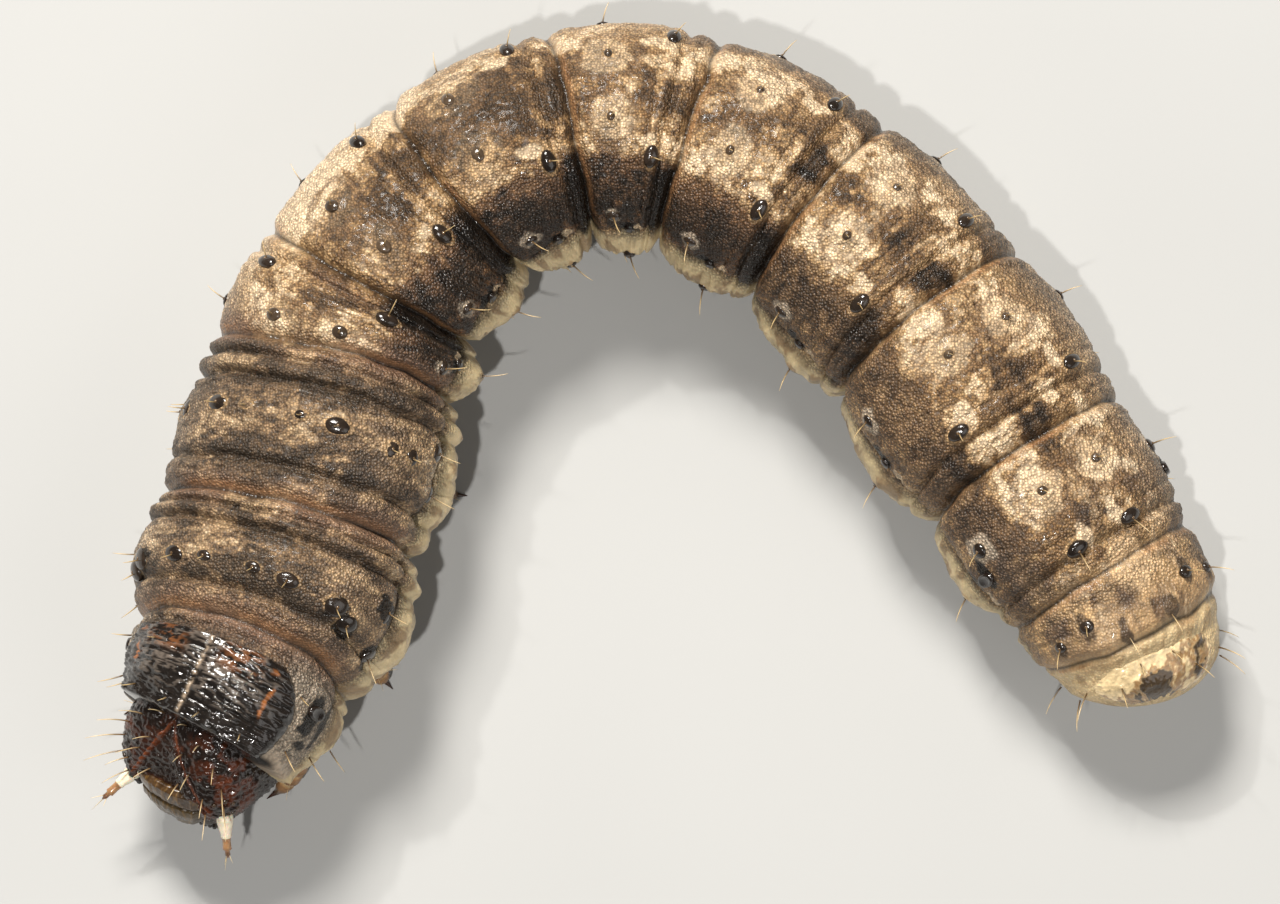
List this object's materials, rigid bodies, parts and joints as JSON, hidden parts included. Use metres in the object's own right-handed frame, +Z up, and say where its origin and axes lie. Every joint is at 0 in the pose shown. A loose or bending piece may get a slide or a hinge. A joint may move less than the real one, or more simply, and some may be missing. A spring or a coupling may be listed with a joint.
{
  "type": "cutworm larva",
  "caption": "Curled black cutworm larva at life size, bent in a half arch, with ringed soft body, dark hard head, short feelers, clawed front legs and stubby hind legs.",
  "frame": {"origin": "centre of the footprint of the whole larva, on the floor it lies on", "axes": "+X along the longest extent, from the head's side of the arch to the tail's side; +Y towards the crown of the arch; +Z up from the floor"},
  "size_m": [0.029, 0.0218, 0.007],
  "materials": {
    "skin": "greasy granular grey-brown skin",
    "head_shell": "glossy black-brown shell",
    "brown_shell": "glossy red-brown shell",
    "leg_shell": "satin amber-brown shell",
    "pale_skin": "pale cream soft skin"
  },
  "bodies": {
    "root": {"thorax_1": "skin", "thorax_2": "skin", "thorax_3": "skin", "abdomen_1": "skin", "abdomen_2": "skin", "abdomen_3": "skin", "abdomen_4": "skin", "abdomen_5": "skin", "abdomen_6": "skin", "abdomen_7": "skin", "abdomen_8": "skin", "abdomen_9": "skin", "abdomen_10": "skin", "head": "head_shell", "labrum": "brown_shell", "mandible_left": "head_shell", "mandible_right": "head_shell", "maxillae_labium": "brown_shell", "antenna_left": "pale_skin", "antenna_right": "pale_skin", "leg_1_left": "leg_shell", "leg_1_right": "leg_shell", "leg_2_left": "leg_shell", "leg_2_right": "leg_shell", "leg_3_left": "leg_shell", "leg_3_right": "leg_shell", "proleg_3_left": "pale_skin", "proleg_3_right": "pale_skin", "proleg_4_left": "pale_skin", "proleg_4_right": "pale_skin", "proleg_5_left": "pale_skin", "proleg_5_right": "pale_skin", "proleg_6_left": "pale_skin", "proleg_6_right": "pale_skin", "proleg_anal_left": "pale_skin", "proleg_anal_right": "pale_skin"}
  },
  "joints": []
}
